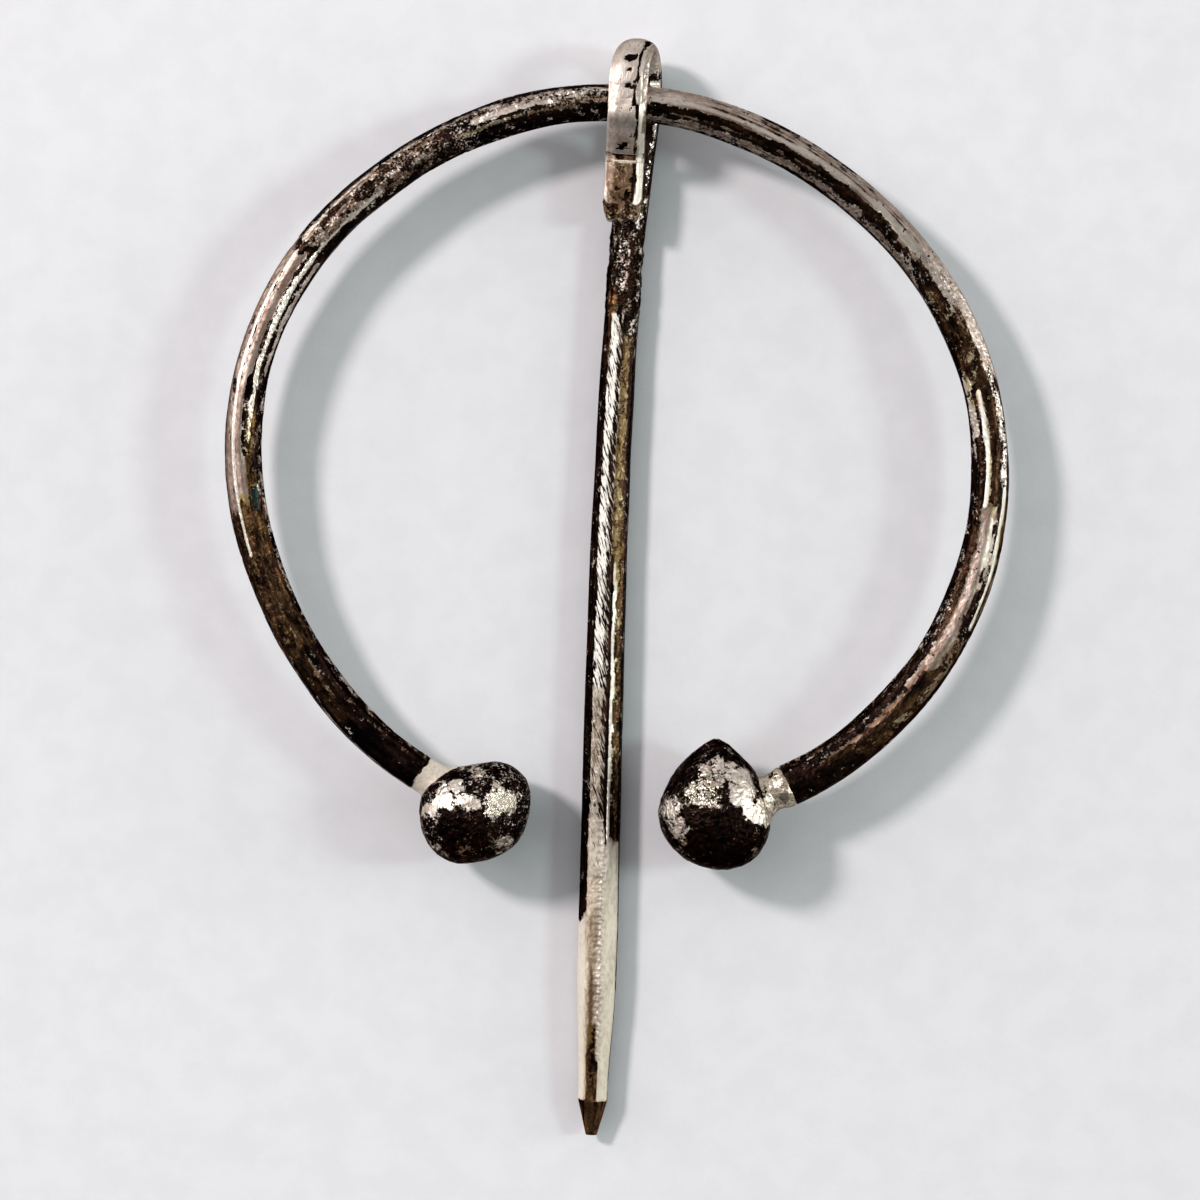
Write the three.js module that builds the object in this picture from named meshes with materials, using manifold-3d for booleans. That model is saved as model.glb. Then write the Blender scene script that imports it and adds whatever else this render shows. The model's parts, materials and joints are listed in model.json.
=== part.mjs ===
// A penannular brooch: an open hoop of hammered eight-sided rod with a ball soldered on each end, and a
// loose pin whose flattened upper end is bent round the hoop into an eye. It lies on its back.
// Millimetres, +Z up. The pin points along -Y, and the origin is under the middle of the whole brooch.

import * as THREE from 'three';
import { mergeVertices } from 'three/addons/utils/BufferGeometryUtils.js';
import Module from 'manifold-3d';

const { PI, sin, cos, atan2, abs, exp, max, min, hypot } = Math;
const { degToRad, lerp, clamp, smoothstep } = THREE.MathUtils;

// Hoop. Angles run clockwise from the top, seen from above.
const HOOP_HEIGHT = 4.55; // rod centre above the ground
const HOOP_RADIUS = 30.55; // mean radius of the rod's centreline
const HOOP_WAVES = [ // how the hand-bent ring departs from a circle: waves per turn, height, phase
  { count: 1, height: 0.135, phase: -92 },
  { count: 2, height: 0.577, phase: -156 },
  { count: 3, height: 0.128, phase: -106 },
  { count: 4, height: 0.135, phase: 54 },
  { count: 5, height: 0.125, phase: -32 },
];
const HOOP_LEFT_END = -149.8;
const HOOP_RIGHT_END = 147.6;
const HOOP_STEPS = 92;
const ROD_HALF_WIDTH = 1.46;
const ROD_HALF_HEIGHT = 1.44;
const ROD_THICKER_END = 0.2; // added to the half width towards the right end
const THICKER_FROM = 0.7; // shares of the way along the rod between which it thickens
const THICKER_TO = 0.95;
const ROD_TWIST = 20; // how far the eight faces drift to and fro round the rod
const TWIST_TURN = 8; // radians of that drift from end to end
const TWIST_START = 0.6;

// Every rod has eight faces. The corners are rounded off, and the faces are struck unevenly.
const OCTAGON_FACE = Math.SQRT2 - 1; // half a face's width on an octagon one unit from centre to face
const CORNER_SOFTNESS = 0.24; // share of a face that its two rounded corners take
const HAMMERING = 0.028;
// Each face is struck along its own wave: radians a section, how much faster each next face's wave runs,
// how far it starts ahead, and its depth.
const HOOP_STRIKES = { pace: 0.5, faster: 0.11, ahead: 2.1, depth: HAMMERING };
const PIN_STRIKES = { pace: 0.7, faster: 0.13, ahead: 1.7, depth: HAMMERING / 2 };

// Pin. Reach is along the pin from the rod's centre, negative towards the point; up is above the ground.
const PIN_X = 0.4; // beside the hoop's middle
const PIN_LENGTH = 86.5; // from the rod's centre to the point
const PIN_BOW = 0.8; // sideways bend, largest two fifths of the way down
const BOW_CROWDING = 0.7; // below 1, the bend crowds towards the eye
const BOW_NARROWING = 1.6; // above 1, the pin is straighter near its two ends
const PIN_UP = 1.22; // the shaft's centreline above the ground
const PIN_ROLL = 11; // the shaft lies a little on its side
const PIN_FLATNESS = 0.9; // thickness over width
const SHAFT_WIDTH_TOP = 2.8;
const SHAFT_WIDTH_LOW = 3.22; // the shaft swells towards its lower third
const SHAFT_SWELL_REACH = -64;
const TAPER_REACH = -71.8; // the shaft begins to narrow
const CHISEL_REACH = -83.5; // the chisel-shaped point begins
const CHISEL_WIDTH = 2.4;
const POINT_WIDTH = 0.9;
const POINT_THICKNESS = 0.75;

// Eye and strap.
const EYE_REACH = 5.38; // outer top of the bend
const EYE_START_REACH = 1.4; // the back limb is straight up to here
const LIMB_X = 0.42; // the back limb's top stands to the right of the shaft
const LIMB_REACH = -12; // where it starts to lean over
const CROWN_THICKNESS = 1.7;
const STRAP_X = -0.96; // the strap stands to the left of it
const STRAP_SHIFT_FROM = 0.1; // share of the eye's bend after which it moves over
const STRAP_WIDTH = 3.25;
const STRAP_THICKNESS = 1.25;
const STRAP_FACE = 0.6; // half its flat face's share of the half width
const STRAP_UP = 7.08; // the strap's centreline where it passes over the hoop
const STRAP_ROLL = 4;
const BEND_START_REACH = -0.9; // the strap bends down to the shaft
const BEND_END_REACH = -4.6;
const BEND_EASE = 0.55; // share of that bend over which it eases in and out
const STRAP_LIES_UP = 3.3; // its centreline where it lies on the shaft
const STRAP_END_REACH = -9.7;
const BAND_REACH = -4.37; // a shallow band pinched across the strap
const BAND_HALF_WIDTH = 0.45;
const BAND_DEPTH = 0.2;
const TEAR_FROM = 0.4; // share of the strap's last straight after which it is torn
const TEAR_ROUNDING = 0.8; // how far its torn end stands back at its sides
const TEAR_LUMP = 0.18; // its unevenness
const TEAR_WAVES = 7; // radians of it over half the width
const TEAR_THINNING = 0.4; // share of its thickness lost there

const EYE_STRETCH = 2; // of the stretches of the pin's route, the one that bends round the hoop
const OUTER_FACES_FROM = 5; // the last three of a section's faces look away from the hoop

// Terminals.
const LEFT_CENTRE = new THREE.Vector3(-10.52, -29.42, HOOP_HEIGHT);
const LEFT_RADIUS = 4.48;
const LEFT_WAVES = [ // its squashed outline seen from above, phases anticlockwise from +X
  { count: 2, height: 0.375, phase: 53 },
  { count: 3, height: 0.137, phase: 115 },
  { count: 4, height: 0.131, phase: -155 },
];
const RIGHT_CENTRE = new THREE.Vector3(9.52, -28.85, HOOP_HEIGHT);
const RIGHT_RADIUS = 4.55;
const RIGHT_WAVES = [
  { count: 2, height: 0.12, phase: -70 },
  { count: 3, height: 0.1, phase: -135 },
];
const PEAK_DIRECTION = 92.6; // the drop's blunt peak, anticlockwise from +X
const PEAK_HEIGHT = 2; // above the ball
const PEAK_SPREAD = 30; // degrees over which it sinks to a third
const PEAK_SHARPNESS = 1.1; // power of the angle in its fall
const PEAK_TOP = 1.86; // a small flat cuts it off at this height
const BALL_HALF_HEIGHT = 4.85; // more than the centre's height, so that the underside has a flat spot
const BALL_COLUMNS = 34;
const BALL_ROWS = 18;
const ROWS_TO_PEAK = 1.35; // above 1, the rows crowd towards the peak

// Necks of solder, from the rod's end towards the ball's centre: share of the way, radius.
const SOLDER_GAP = 0.05;
const NECK_SIDES = 16;
const LEFT_NECK = [[0, 1.5], [0.1, 1.58], [0.24, 1.6], [0.4, 2.05], [0.6, 2.3]];
const RIGHT_NECK = [[0, 1.62], [0.05, 1.84], [0.12, 1.78], [0.18, 1.56], [0.3, 1.52], [0.42, 1.75],
  [0.6, 2.1]];

const UP = new THREE.Vector3(0, 0, 1);

const metal = (color, roughness, metalness) =>
  new THREE.MeshStandardMaterial({ color, roughness, metalness });
const TARNISHED_SILVER = metal(0x6b625c, 0.38, 0.9);
const WORN_SILVER = metal(0x9a928a, 0.32, 0.95);
const DULL_SILVER = metal(0x857c72, 0.4, 0.9);

function struck(step, face, { pace, faster, ahead, depth }) {
  return 1 + depth * sin(step * (pace + faster * face) + ahead * face);
}

function waves(angle, list) {
  return list.reduce((sum, w) => sum + w.height * cos(w.count * angle - degToRad(w.phase)), 0);
}

// Points round an eight-sided section one unit from centre to face: two for each face, so that the corners
// are cut off and the faces stay flat. The faces above and below have the given half width.
function sectionPoints(face) {
  const corners = [[1, -OCTAGON_FACE], [1, OCTAGON_FACE], [face, 1], [-face, 1],
    [-1, OCTAGON_FACE], [-1, -OCTAGON_FACE], [-face, -1], [face, -1]].map((c) => new THREE.Vector2(...c));
  return corners.flatMap((corner, k) => {
    const next = corners[(k + 1) % corners.length];
    return [CORNER_SOFTNESS / 2, 1 - CORNER_SOFTNESS / 2].map((share) => corner.clone().lerp(next, share));
  });
}

// A ring of section points round a centre, square to the direction along. The faces in front and behind
// look along front, and strike(face) moves each face in or out.
function sectionRing({ centre, along, front, halfWidth, halfThickness, turn = 0, face, strike }) {
  const side = new THREE.Vector3().crossVectors(front, along);
  return sectionPoints(face ?? OCTAGON_FACE).map((point, k) => {
    const place = point.rotateAround(new THREE.Vector2(), turn).multiplyScalar(strike(k >> 1));
    return centre.clone()
      .addScaledVector(side, halfWidth * place.x)
      .addScaledVector(front, halfThickness * place.y);
  });
}

// A closed body through rings of equally many points, with a flat cap on its first and last ring.
function loft(rings) {
  const count = rings[0].length;
  const middle = (ring) => ring.reduce((sum, p) => sum.add(p), new THREE.Vector3()).divideScalar(count);
  const points = [...rings.flat(), middle(rings[0]), middle(rings.at(-1))];
  const top = (rings.length - 1) * count;
  const first = top + count;
  const last = first + 1;
  const index = [];
  for (let k = 0; k < count; k++) {
    const next = (k + 1) % count;
    for (let a = 0; a < top; a += count) {
      index.push(a + k, a + next, a + count + next, a + k, a + count + next, a + count + k);
    }
    index.push(first, next, k, last, top + k, top + next);
  }
  return new THREE.BufferGeometry().setFromPoints(points).setIndex(index);
}

class HoopCurve extends THREE.Curve {
  getPoint(t, target = new THREE.Vector3()) {
    const angle = degToRad(lerp(HOOP_LEFT_END, HOOP_RIGHT_END, t));
    const radius = HOOP_RADIUS + waves(angle, HOOP_WAVES);
    return target.set(radius * sin(angle), radius * cos(angle), HOOP_HEIGHT);
  }
}
const hoopCurve = new HoopCurve();

function hoopGeometry() {
  const rings = [];
  for (let i = 0; i <= HOOP_STEPS; i++) {
    const t = i / HOOP_STEPS;
    const thicker = ROD_THICKER_END * smoothstep(t, THICKER_FROM, THICKER_TO);
    rings.push(sectionRing({
      centre: hoopCurve.getPoint(t),
      along: hoopCurve.getTangent(t),
      front: UP,
      halfWidth: ROD_HALF_WIDTH + thicker,
      halfThickness: ROD_HALF_HEIGHT + thicker / 2,
      turn: degToRad(ROD_TWIST) * sin(TWIST_TURN * t + TWIST_START),
      strike: (face) => struck(i, face, HOOP_STRIKES),
    }));
  }
  return loft(rings);
}

// The pin's centreline seen from its side: up the shaft, round the hoop and back down on the shaft, with
// the number of sections on each stretch.
function pinRoute() {
  const at = (reach, up) => new THREE.Vector2(reach, up);
  const crown = EYE_REACH - CROWN_THICKNESS / 2 - EYE_START_REACH;
  const pull = BEND_EASE * (BEND_START_REACH - BEND_END_REACH);
  const shaft = [at(-PIN_LENGTH, PIN_UP), at(CHISEL_REACH, PIN_UP), at(EYE_START_REACH, PIN_UP)];
  const bend = [at(BEND_START_REACH, STRAP_UP), at(BEND_START_REACH - pull, STRAP_UP),
    at(BEND_END_REACH + pull, STRAP_LIES_UP), at(BEND_END_REACH, STRAP_LIES_UP)];
  return [
    [new THREE.LineCurve(shaft[0], shaft[1]), 3],
    [new THREE.LineCurve(shaft[1], shaft[2]), 34],
    [new THREE.EllipseCurve(EYE_START_REACH, (PIN_UP + STRAP_UP) / 2, crown, (STRAP_UP - PIN_UP) / 2,
      -PI / 2, PI / 2), 14],
    [new THREE.LineCurve(at(EYE_START_REACH, STRAP_UP), bend[0]), 2],
    [new THREE.CubicBezierCurve(...bend), 11],
    [new THREE.LineCurve(bend[3], at(STRAP_END_REACH, STRAP_LIES_UP)), 5],
  ];
}

function shaftWidth(reach) {
  const swell = smoothstep(-reach, -STRAP_END_REACH, -SHAFT_SWELL_REACH);
  const taper = smoothstep(-reach, -TAPER_REACH, -CHISEL_REACH);
  return lerp(lerp(SHAFT_WIDTH_TOP, SHAFT_WIDTH_LOW, swell), CHISEL_WIDTH, taper);
}

// Place and size of the pin's section. turned runs from 0 to 1 along the bend round the hoop, and wrapped
// does so with a slower start and end.
function pinSection(reach, turned, wrapped) {
  const down = max(0, -reach / PIN_LENGTH);
  const lean = LIMB_X * smoothstep(reach, LIMB_REACH, EYE_START_REACH);
  const bow = PIN_BOW * sin(PI * down ** BOW_CROWDING) ** BOW_NARROWING;
  const chisel = max(0, (CHISEL_REACH - reach) / (CHISEL_REACH + PIN_LENGTH));
  const width = lerp(shaftWidth(reach), POINT_WIDTH, chisel);
  const thickness = lerp(PIN_FLATNESS * shaftWidth(reach), POINT_THICKNESS, chisel);
  return {
    x: PIN_X + lerp(lean - bow, STRAP_X, smoothstep(turned, STRAP_SHIFT_FROM, 1)),
    halfWidth: lerp(width, STRAP_WIDTH, wrapped) / 2,
    halfThickness: lerp(thickness, STRAP_THICKNESS, wrapped) / 2,
    roll: degToRad(lerp(PIN_ROLL, -STRAP_ROLL, wrapped)),
    face: lerp(OCTAGON_FACE, STRAP_FACE, wrapped),
  };
}

function pinGeometry() {
  const rodY = HOOP_RADIUS + waves(0, HOOP_WAVES);
  const rings = [];
  pinRoute().forEach(([curve, steps], stretch, route) => {
    const isEnd = stretch === route.length - 1;
    for (let i = 0; i < steps + isEnd; i++) {
      const t = i / steps;
      const { x: reach, y: up } = curve.getPoint(t);
      const tangent = curve.getTangent(t);
      const turned = clamp(stretch + t - EYE_STRETCH, 0, 1);
      const wrapped = smoothstep(turned, 0, 1);
      const torn = isEnd ? smoothstep(t, TEAR_FROM, 1) : 0;
      const section = pinSection(reach, turned, wrapped);
      const along = new THREE.Vector3(0, tangent.x, tangent.y);
      const front = new THREE.Vector3(0, -tangent.y, tangent.x).applyAxisAngle(along, -section.roll);
      const points = sectionRing({
        ...section,
        centre: new THREE.Vector3(section.x, rodY + reach, up),
        along,
        front,
        halfThickness: section.halfThickness * (1 - TEAR_THINNING * torn),
        strike: (face) => struck(rings.length, face, PIN_STRIKES),
      });
      const band = BAND_DEPTH * wrapped * (1 - smoothstep(abs(reach - BAND_REACH), 0, BAND_HALF_WIDTH));
      points.forEach((point, k) => {
        const across = (point.x - section.x) / section.halfWidth;
        const ragged = TEAR_LUMP * sin(TEAR_WAVES * across + k) - TEAR_ROUNDING * across ** 4;
        point.addScaledVector(along, torn * ragged);
        if (k >> 1 >= OUTER_FACES_FROM) point.addScaledVector(front, band);
        point.z = max(point.z, 0);
      });
      rings.push(points);
    }
  });
  return loft(rings);
}

// A ball as a lathed body whose first row points along peakDirection. reach(angle) is its distance from
// the centre at an angle from that direction, and outline(angle) widens or narrows it seen from above.
function ballGeometry(centre, peakDirection, reach, outline) {
  const profile = [];
  for (let row = 0; row <= BALL_ROWS; row++) {
    const angle = PI * (row / BALL_ROWS) ** ROWS_TO_PEAK;
    const offAxis = row % BALL_ROWS ? reach(angle) * sin(angle) : 0;
    profile.push(new THREE.Vector2(offAxis, reach(angle) * cos(angle)));
  }
  const geometry = new THREE.LatheGeometry(profile.reverse(), BALL_COLUMNS);
  geometry.rotateZ(degToRad(peakDirection) - PI / 2);
  const place = geometry.attributes.position;
  const point = new THREE.Vector3();
  for (let i = 0; i < place.count; i++) {
    point.fromBufferAttribute(place, i);
    const angle = atan2(point.y, point.x);
    const share = hypot(point.x, point.y) / max(point.length(), 1e-6);
    const wide = lerp(1, outline(angle), share);
    const height = point.z * BALL_HALF_HEIGHT / reach(PI / 2);
    place.setXYZ(i, centre.x + point.x * wide, centre.y + point.y * wide, max(0, centre.z + height));
  }
  return geometry;
}

// A neck from the rod's end, square to the rod there, into the ball's middle.
function neckGeometry(end, outOfRod, centre, radii) {
  const start = end.clone().addScaledVector(outOfRod, SOLDER_GAP);
  const pull = start.clone().addScaledVector(outOfRod, start.distanceTo(centre) / 2);
  const line = new THREE.QuadraticBezierCurve3(start, pull, centre);
  return loft(radii.map(([t, radius]) => {
    const along = line.getTangent(t);
    const side = new THREE.Vector3().crossVectors(UP, along);
    return Array.from({ length: NECK_SIDES }, (_, k) => line.getPoint(t)
      .addScaledVector(side, radius * cos(2 * PI * k / NECK_SIDES))
      .addScaledVector(UP, radius * sin(2 * PI * k / NECK_SIDES)));
  }));
}

const wasm = await Module();
wasm.setup();

function closedMesh(geometry) {
  for (const name of ['normal', 'uv']) geometry.deleteAttribute(name);
  return mergeVertices(geometry, 1e-4);
}

function asSolid(geometry) {
  const mesh = closedMesh(geometry);
  return new wasm.Manifold(new wasm.Mesh({
    numProp: 3,
    vertProperties: new Float32Array(mesh.attributes.position.array),
    triVerts: new Uint32Array(mesh.index.array),
  }));
}

function joined(...geometries) {
  const { vertProperties, triVerts } = wasm.Manifold.union(geometries.map(asSolid)).getMesh();
  const geometry = new THREE.BufferGeometry();
  geometry.setAttribute('position', new THREE.BufferAttribute(vertProperties, 3));
  return geometry.setIndex([...triVerts]);
}

// The squashed ball on the rod's left end.
function leftTerminal() {
  const ball = ballGeometry(LEFT_CENTRE, 0, () => LEFT_RADIUS,
    (angle) => 1 + waves(angle, LEFT_WAVES) / LEFT_RADIUS);
  const out = hoopCurve.getTangent(0).negate();
  return joined(ball, neckGeometry(hoopCurve.getPoint(0), out, LEFT_CENTRE, LEFT_NECK));
}

// The drop on its right end: a ball drawn up to a blunt peak.
function rightTerminal() {
  const peaked = (angle) =>
    RIGHT_RADIUS + PEAK_HEIGHT * exp(-((angle / degToRad(PEAK_SPREAD)) ** PEAK_SHARPNESS));
  const flat = (angle) => (RIGHT_RADIUS + PEAK_TOP) / max(cos(angle), 0.5);
  const reach = (angle) => min(peaked(angle), flat(angle));
  const ball = ballGeometry(RIGHT_CENTRE, PEAK_DIRECTION, reach,
    (angle) => 1 + waves(angle, RIGHT_WAVES) / RIGHT_RADIUS);
  const out = hoopCurve.getTangent(1);
  return joined(ball, neckGeometry(hoopCurve.getPoint(1), out, RIGHT_CENTRE, RIGHT_NECK));
}

function piece(name, geometry, finish) {
  const mesh = new THREE.Mesh(closedMesh(geometry), finish);
  mesh.geometry.computeVertexNormals();
  mesh.name = name;
  return mesh;
}

const brooch = new THREE.Group();
brooch.add(
  piece('hoop', hoopGeometry(), TARNISHED_SILVER),
  piece('terminal_left', leftTerminal(), WORN_SILVER),
  piece('terminal_right', rightTerminal(), WORN_SILVER),
  piece('pin', pinGeometry(), DULL_SILVER),
);

const box = new THREE.Box3().setFromObject(brooch);
const middle = box.getCenter(new THREE.Vector3());
brooch.position.set(-middle.x, -middle.y, -box.min.z);

export default brooch;
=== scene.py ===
"""A penannular brooch of tarnished silver, seen from straight above on a pale table.

The hoop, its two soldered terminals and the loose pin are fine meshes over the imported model's solids.
Shapes are worked out in millimetres from the hoop's middle, and each mesh is moved into the frame.
Angles along the hoop run clockwise from its top, seen from above. Angles round a rod or strap are its
sides: 0 is outward on the hoop and +X on the pin, 90 is up, and 180 is inward or -X. A point's lay is its
place across, out of and along its own rod, or from its own ball's centre. Patina and relief follow it.
"""

import json
from math import cos, pi as PI, radians, sin, sqrt

import bmesh
import bpy
import numpy as np
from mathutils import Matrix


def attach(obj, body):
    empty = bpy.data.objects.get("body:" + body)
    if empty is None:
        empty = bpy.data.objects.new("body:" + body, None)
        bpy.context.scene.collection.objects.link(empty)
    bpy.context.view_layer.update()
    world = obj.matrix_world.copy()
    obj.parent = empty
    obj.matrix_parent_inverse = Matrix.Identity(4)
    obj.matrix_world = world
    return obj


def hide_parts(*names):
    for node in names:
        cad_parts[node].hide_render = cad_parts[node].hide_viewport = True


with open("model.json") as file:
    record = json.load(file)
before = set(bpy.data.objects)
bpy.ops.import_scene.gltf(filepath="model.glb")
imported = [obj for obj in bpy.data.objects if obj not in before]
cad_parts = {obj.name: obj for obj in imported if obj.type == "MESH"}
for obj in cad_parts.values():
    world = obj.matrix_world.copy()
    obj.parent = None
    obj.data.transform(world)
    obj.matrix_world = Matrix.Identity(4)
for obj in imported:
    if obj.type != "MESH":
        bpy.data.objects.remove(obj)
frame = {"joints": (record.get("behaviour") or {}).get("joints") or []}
scene = bpy.context.scene
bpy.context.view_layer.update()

MM = 0.001
UP = np.array([0.0, 0.0, 1.0])

# Hoop.
HOOP_HEIGHT = 4.55
HOOP_RADIUS = 30.55
HOOP_WAVES = [(1, 0.135, -92), (2, 0.577, -156), (3, 0.128, -106), (4, 0.135, 54), (5, 0.125, -32)]
HOOP_LEFT_END = -149.8
HOOP_RIGHT_END = 149.3
ROD_HALF_WIDTH = 1.46
ROD_HALF_HEIGHT = 1.44
ROD_THICKER_END = 0.2
THICKER_FROM = 0.7
THICKER_TO = 0.95
ROD_TWIST = 20
TWIST_TURN = 8
TWIST_START = 0.6

# Every rod has eight faces. Each is struck along its own wave: radians a unit of the way, how much faster
# each next face's wave runs, how far it starts ahead, and its depth. The hoop's way is 1 from end to end,
# and the pin's is in millimetres.
OCTAGON_FACE = sqrt(2) - 1
CORNER_SOFTNESS = 0.36
HAMMERING = 0.028
HOOP_STRIKES = (46, 10.12, 2.1, HAMMERING)
PIN_STRIKES = (0.42, 0.078, 1.7, HAMMERING / 2)

# Pin.
PIN_X = 0.4
PIN_LENGTH = 86.5
PIN_BOW = 0.8
BOW_CROWDING = 0.7
BOW_NARROWING = 1.6
PIN_UP = 1.22
PIN_ROLL = 11
PIN_FLATNESS = 0.9
SHAFT_WIDTH_TOP = 2.8
SHAFT_WIDTH_LOW = 3.22
SHAFT_SWELL_REACH = -64
TAPER_REACH = -71.8
CHISEL_REACH = -83.5
CHISEL_WIDTH = 2.4
POINT_WIDTH = 0.9
POINT_THICKNESS = 0.75

# Eye and strap. Of the six stretches of the pin's route, the third bends round the hoop and the last is
# the strap's end.
EYE_STRETCH = 2
END_STRETCH = 5
EYE_REACH = 5.38
EYE_START_REACH = 1.4
LIMB_X = 0.42
LIMB_REACH = -12
CROWN_THICKNESS = 1.7
STRAP_X = -0.96
STRAP_SHIFT_FROM = 0.1
STRAP_WIDTH = 3.25
STRAP_THICKNESS = 1.25
STRAP_FACE = 0.6
CROWN_FACE = 0.34
STRAP_UP = 7.08
STRAP_ROLL = 4
BEND_START_REACH = -0.9
BEND_END_REACH = -4.6
BEND_EASE = 0.55
STRAP_LIES_UP = 3.3
STRAP_END_REACH = -9.7
BAND_REACH = -4.37
BAND_HALF_WIDTH = 0.4
BAND_EDGE = 0.09
BAND_DEPTH = 0.2
OUTER_BEYOND = 0.4
TEAR_FROM = 0.4
TEAR_ROUNDING = 0.8
TEAR_LUMP = 0.3
TEAR_THINNING = 0.4

# Terminals.
LEFT_CENTRE = np.array([-10.52, -29.42, HOOP_HEIGHT])
LEFT_RADIUS = 4.48
LEFT_WAVES = [(2, 0.375, 53), (3, 0.137, 115), (4, 0.131, -155)]
RIGHT_CENTRE = np.array([9.52, -28.85, HOOP_HEIGHT])
RIGHT_RADIUS = 4.55
RIGHT_WAVES = [(2, 0.12, -70), (3, 0.1, -135)]
PEAK_DIRECTION = 92.6
PEAK_HEIGHT = 2
PEAK_SPREAD = 30
PEAK_SHARPNESS = 1.1
PEAK_TOP = 1.86
BALL_HALF_HEIGHT = 4.85
LEFT_NECK = [(0, 1.46), (0.08, 1.47), (0.2, 1.5), (0.32, 1.75), (0.45, 2.35), (0.6, 2.8)]
RIGHT_NECK = [(0, 1.6), (0.03, 1.78), (0.09, 1.74), (0.15, 1.56), (0.25, 1.58), (0.38, 1.95), (0.55, 2.4)]

# Fineness of the meshes.
HOOP_RINGS = 1350
ROUTE_STEPS = 400
PIN_RING_SPACING = 0.115
FLAT_STEPS = 4
CORNER_STEPS = 3
BALL_SUBDIVISIONS = 7
NECK_RINGS = 70
NECK_SIDES = 72
NECK_SMOOTHING = 7

# Noise: factors that scatter cells and seeds, and the largest value.
CELL_FACTORS = (73856093, 19349663, 83492791)
SEED_FACTOR = 15485863
STIR_FACTOR = 1274126177
TOP_VALUE = 0xFFFF

# Pits: smallest radius and spread of radii, in cells, and the depth at which the floor begins.
PIT_RADIUS = 0.25
PIT_RADIUS_SPREAD = 0.3
PIT_FLOOR = 0.7

# Camera, measured from the hoop's middle.
CAMERA_X = -0.94
CAMERA_Y = -11.31
CAMERA_ABOVE_ROD = 300
CAMERA_TURN = 2.65
CAMERA_LENS = 108
CAMERA_NEAR = 0.01
CAMERA_FAR = 20


# ---- numbers

def ramp(x, low, high):
    """A smooth ramp from 0 at low to 1 at high."""
    t = np.clip((x - low) / (high - low), 0, 1)
    return t * t * (3 - 2 * t)


def lerp(a, b, t):
    return a + (b - a) * t


def band(x, low, high, fade):
    """1 between low and high, and down to 0 over fade outside them."""
    return ramp(x, low - fade, low) * (1 - ramp(x, high, high + fade))


def waves(angle, terms):
    return sum(height * np.cos(count * angle - radians(phase)) for count, height, phase in terms)


def stacked(*coordinates):
    return np.stack(coordinates, axis=-1)


def unit(vectors):
    return vectors / np.linalg.norm(vectors, axis=-1, keepdims=True)


def cell_value(cells, seed):
    """A number from 0 to 1 that each whole-numbered cell always has."""
    x, y, z = (cells[..., axis] * factor for axis, factor in enumerate(CELL_FACTORS))
    mixed = x ^ y ^ z ^ seed * SEED_FACTOR
    mixed = (mixed ^ mixed >> 13) * STIR_FACTOR
    mixed = (mixed ^ mixed >> 16) & TOP_VALUE
    return mixed / TOP_VALUE


def noise(points, size, seed):
    """Smooth noise from -1 to 1. size is that of its lumps, one number or one for each axis."""
    scaled = points / size
    low = np.floor(scaled).astype(np.int64)
    share = scaled - low
    share = share * share * (3 - 2 * share)
    total = 0
    for corner in np.ndindex(2, 2, 2):
        weight = np.prod(np.where(corner, share, 1 - share), axis=-1)
        total = total + weight * cell_value(low + np.array(corner), seed)
    return 2 * total - 1


def rough(points, size, seed, octaves=4):
    """Noise upon finer and weaker noise."""
    size = np.asarray(size, float)
    return sum(noise(points, size / 2 ** k, seed + k) / 2 ** k for k in range(octaves))


def pits(points, size, share, seed):
    """Depth from 0 to 1 of round pits, one in the given share of the cells of a loose grid."""
    scaled = points / size
    low = np.floor(scaled).astype(np.int64)
    depth = np.zeros(len(points))
    for corner in np.ndindex(3, 3, 3):
        cell = low + np.array(corner) - 1
        middle = cell + stacked(*(cell_value(cell, seed + k) for k in range(3)))
        radius = PIT_RADIUS + PIT_RADIUS_SPREAD * cell_value(cell, seed + 3)
        there = cell_value(cell, seed + 4) < share
        near = 1 - np.linalg.norm(scaled - middle, axis=-1) / radius
        depth = np.maximum(depth, np.where(there, np.clip(near, 0, 1), 0))
    return ramp(depth, 0, PIT_FLOOR)


# ---- meshes

def outline_shares():
    """For each point round a section, the shares of its eight corners and of its eight faces."""
    edge = CORNER_SOFTNESS / 2
    corners, faces = [], []
    for k in range(8):
        a, b, c = np.eye(8)[k], np.eye(8)[(k + 1) % 8], np.eye(8)[(k + 2) % 8]
        for t in np.arange(FLAT_STEPS) / FLAT_STEPS:
            corners.append(lerp(a, b, lerp(edge, 1 - edge, t)))
            faces.append(a)
        for u in np.arange(CORNER_STEPS) / CORNER_STEPS:
            start, end = lerp(a, b, 1 - edge), lerp(b, c, edge)
            corners.append((1 - u) ** 2 * start + 2 * u * (1 - u) * b + u ** 2 * end)
            faces.append(lerp(a, b, u))
    return np.array(corners), np.array(faces)


def strikes(way, pace, faster, ahead, depth):
    face = np.arange(8)
    return 1 + depth * np.sin(way[:, None] * (pace + faster * face) + ahead * face)


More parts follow.
